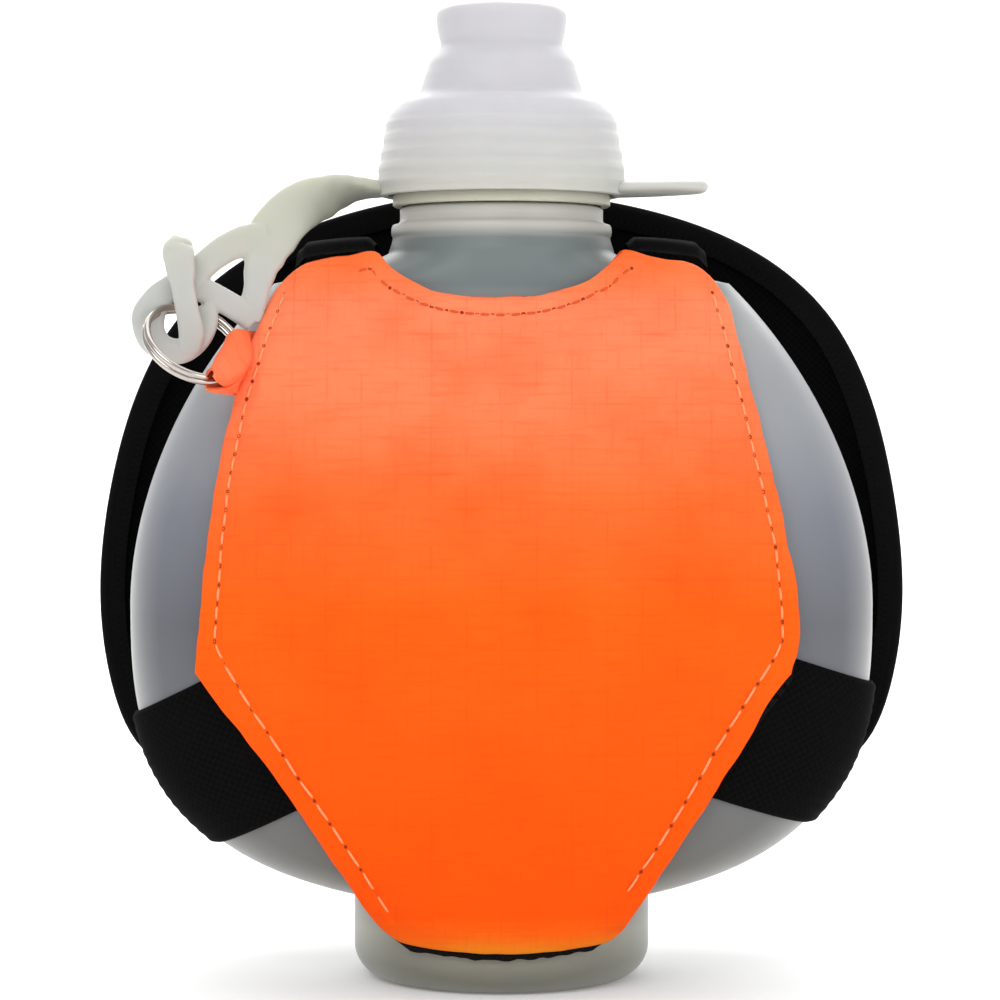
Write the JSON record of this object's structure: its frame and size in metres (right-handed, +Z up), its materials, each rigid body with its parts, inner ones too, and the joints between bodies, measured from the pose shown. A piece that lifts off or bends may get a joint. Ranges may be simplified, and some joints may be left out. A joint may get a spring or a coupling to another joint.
{
  "type": "handheld running bottle with hand-strap harness",
  "caption": "Disc-shaped squeeze bottle with a push-pull cap and a tethered dust cover, held in a sewn harness with a front shield, side elastics, back panel and hand strap.",
  "frame": {"origin": "centre of the foot's underside, on the surface that the bottle stands on", "axes": "+Z up through the neck and nozzle, front shield towards -Y, hand strap towards +Y, tether and split ring towards -X"},
  "size_m": [0.129, 0.0828, 0.1495],
  "materials": {
    "frosted_bottle": "translucent frosted polyethylene",
    "cap_plastic": "satin",
    "nozzle_plastic": "satin",
    "gasket_rubber": "soft matt",
    "clear_silicone": "translucent frosted silicone",
    "nickel_wire": "polished nickel",
    "orange_ripstop": "coated ripstop, slight sheen",
    "black_lining": "matt",
    "ribbed_elastic": "ribbed knit, matt",
    "black_neoprene": "smooth jersey-faced foam",
    "binding_tape": "folded tape"
  },
  "bodies": {
    "root": {"bottle": "frosted_bottle", "tether_strap": "clear_silicone", "tether_hitch": "clear_silicone", "ring_tab": "orange_ripstop", "shield_face": "orange_ripstop", "shield_lining": "black_lining", "elastic_left": "ribbed_elastic", "elastic_right": "ribbed_elastic", "shoulder_strap_left": "black_neoprene", "shoulder_strap_right": "black_neoprene", "back_panel": "black_neoprene", "back_binding": "binding_tape", "hand_strap": "ribbed_elastic"},
    "gasket": {"cap_gasket": "gasket_rubber"},
    "cap": {"screw_cap": "cap_plastic"},
    "nozzle": {"push_pull_nozzle": "nozzle_plastic"},
    "cover": {"dust_cover": "clear_silicone"},
    "ring": {"split_ring": "nickel_wire"}
  },
  "joints": [
    {"name": "cap_lift", "type": "slide", "parent": "root", "child": "gasket", "axis": [0, 0, 1], "range_m": [0, 0.0031]},
    {"name": "cap_turn", "type": "hinge", "parent": "gasket", "child": "cap", "pos_m": [0, 0, 0.1271], "axis": [0, 0, 1], "range_deg": [0, 360]},
    {"name": "nozzle_pull", "type": "slide", "parent": "cap", "child": "nozzle", "axis": [0, 0, 1], "range_m": [0, 0.005]},
    {"name": "cover_lift", "type": "slide", "parent": "root", "child": "cover", "axis": [0, 0, 1], "range_m": [0, 0.024], "deforming": ["tether_strap"]},
    {"name": "ring_turn", "type": "hinge", "parent": "root", "child": "ring", "pos_m": [-0.0458, -0.0196, 0.0974], "axis": [0.4, -0.6, 0.6928], "continuous": true}
  ],
  "couplings": [
    {"joint": "cap_lift", "follows": "cap_turn", "m_per_rad": 0.00047746}
  ]
}
